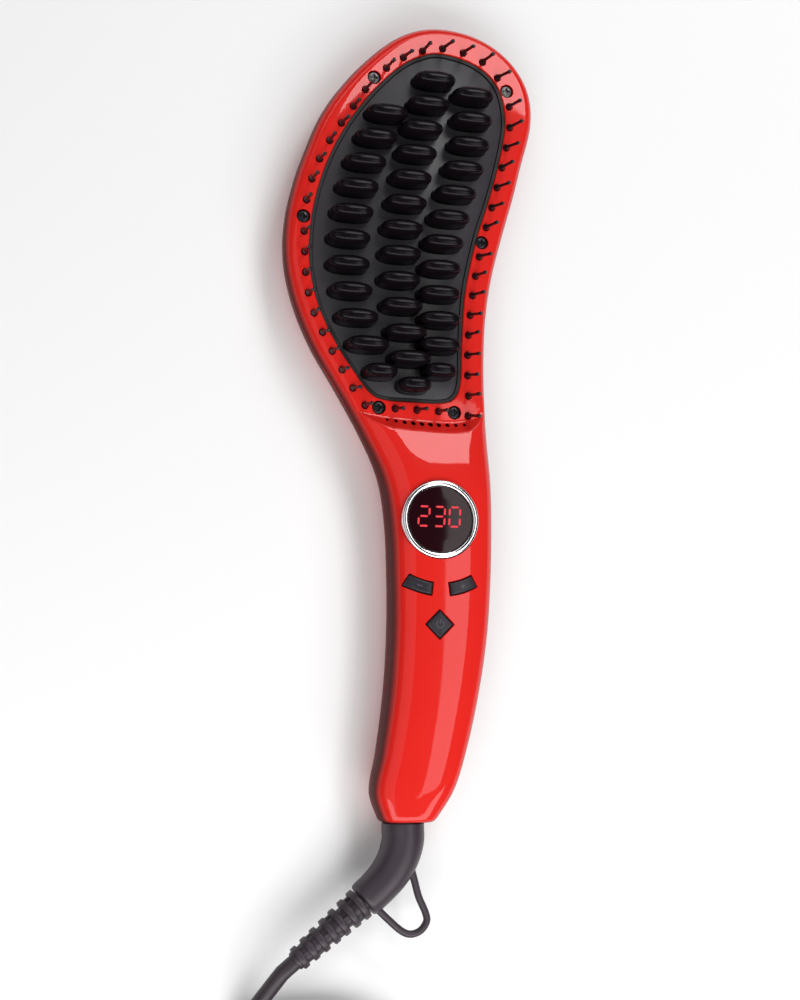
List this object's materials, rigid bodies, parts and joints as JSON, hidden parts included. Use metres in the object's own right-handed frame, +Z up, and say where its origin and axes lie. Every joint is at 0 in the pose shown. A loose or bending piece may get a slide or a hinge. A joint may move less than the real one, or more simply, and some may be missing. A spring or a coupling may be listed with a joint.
{
  "type": "heated hair brush",
  "caption": "Heated steam brush for straightening hair: curved comb head with a plate of teeth and guard pins, a handle with display and three buttons, swivel cord.",
  "frame": {"origin": "centre of the bounding box of the brush and its cord guard, on the table it lies on", "axes": "+Y runs along the handle to the top of the head, +Z up out of the comb, +X to the right as seen from above the comb"},
  "size_m": [0.1431, 0.4649, 0.028],
  "materials": {
    "red_plastic": "gloss",
    "black_steel": "satin",
    "coated_plate": "satin",
    "ceramic_coating": "gloss",
    "silicone": "matte",
    "nylon": "satin",
    "ceramic": "matte",
    "mica": "matte",
    "spring_steel": "satin",
    "sensor": "gloss",
    "fuse_metal": "satin",
    "lead_sleeve": "matte",
    "chrome": "mirror",
    "smoked_lens": "gloss",
    "display_black": "matte",
    "button_plastic": "satin",
    "switch_plastic": "matte",
    "circuit_board": "satin",
    "capacitor_can": "gloss",
    "ferrite": "matte",
    "tank_plastic": "gloss",
    "chamber_metal": "satin",
    "guard_rubber": "satin",
    "hub_plastic": "satin",
    "contact_brass": "satin",
    "cord_rubber": "satin",
    "plug_rubber": "satin",
    "plug_metal": "satin"
  },
  "bodies": {
    "casing": {"back_cover": "red_plastic", "front_cover": "red_plastic", "head_screws": "black_steel", "handle_screws": "black_steel", "heater_plate": "coated_plate", "left_teeth": "ceramic_coating", "centre_teeth": "ceramic_coating", "right_teeth": "ceramic_coating", "plate_seal": "silicone", "guard_pin_ring": "nylon", "heater_elements": "ceramic", "insulator_sheet": "mica", "heater_clamp": "spring_steel", "clamp_screws": "black_steel", "thermistor": "sensor", "thermal_fuse": "fuse_metal", "heater_leads": "lead_sleeve", "display_bezel": "chrome", "display_lens": "smoked_lens", "display_module": "display_black", "tact_switches": "switch_plastic", "main_pcb": "circuit_board", "filter_capacitor": "capacitor_can", "power_choke": "ferrite", "triac": "switch_plastic", "water_tank": "tank_plastic", "feed_tube": "lead_sleeve", "steam_chamber": "chamber_metal", "contact_fingers": "contact_brass", "swivel_block": "hub_plastic"},
    "cord_set": {"cord_guard": "guard_rubber", "swivel_hub": "hub_plastic", "contact_rings": "contact_brass", "power_cord_lead": "cord_rubber", "power_cord_coil": "cord_rubber", "power_cord_tail": "cord_rubber", "plug_body": "plug_rubber", "plug_pins": "plug_metal"},
    "minus_key": {"minus_button": "button_plastic"},
    "plus_key": {"plus_button": "button_plastic"},
    "power_key": {"power_button": "button_plastic"},
    "filler_cap": {"filler_plug": "silicone"}
  },
  "joints": [
    {"name": "minus_press", "type": "slide", "parent": "casing", "child": "minus_key", "axis": [0, 0, -1], "range_m": [0, 0.0006], "stiffness_N_per_m": 400},
    {"name": "plus_press", "type": "slide", "parent": "casing", "child": "plus_key", "axis": [0, 0, -1], "range_m": [0, 0.0006], "stiffness_N_per_m": 400},
    {"name": "power_press", "type": "slide", "parent": "casing", "child": "power_key", "axis": [0, 0, -1], "range_m": [0, 0.0006], "stiffness_N_per_m": 400},
    {"name": "cord_swivel", "type": "hinge", "parent": "casing", "child": "cord_set", "pos_m": [-0.0012, -0.118, 0.0135], "axis": [0, 1, 0], "continuous": true},
    {"name": "filler_pull", "type": "slide", "parent": "casing", "child": "filler_cap", "axis": [1, 0, 0], "range_m": [0, 0.007]}
  ]
}
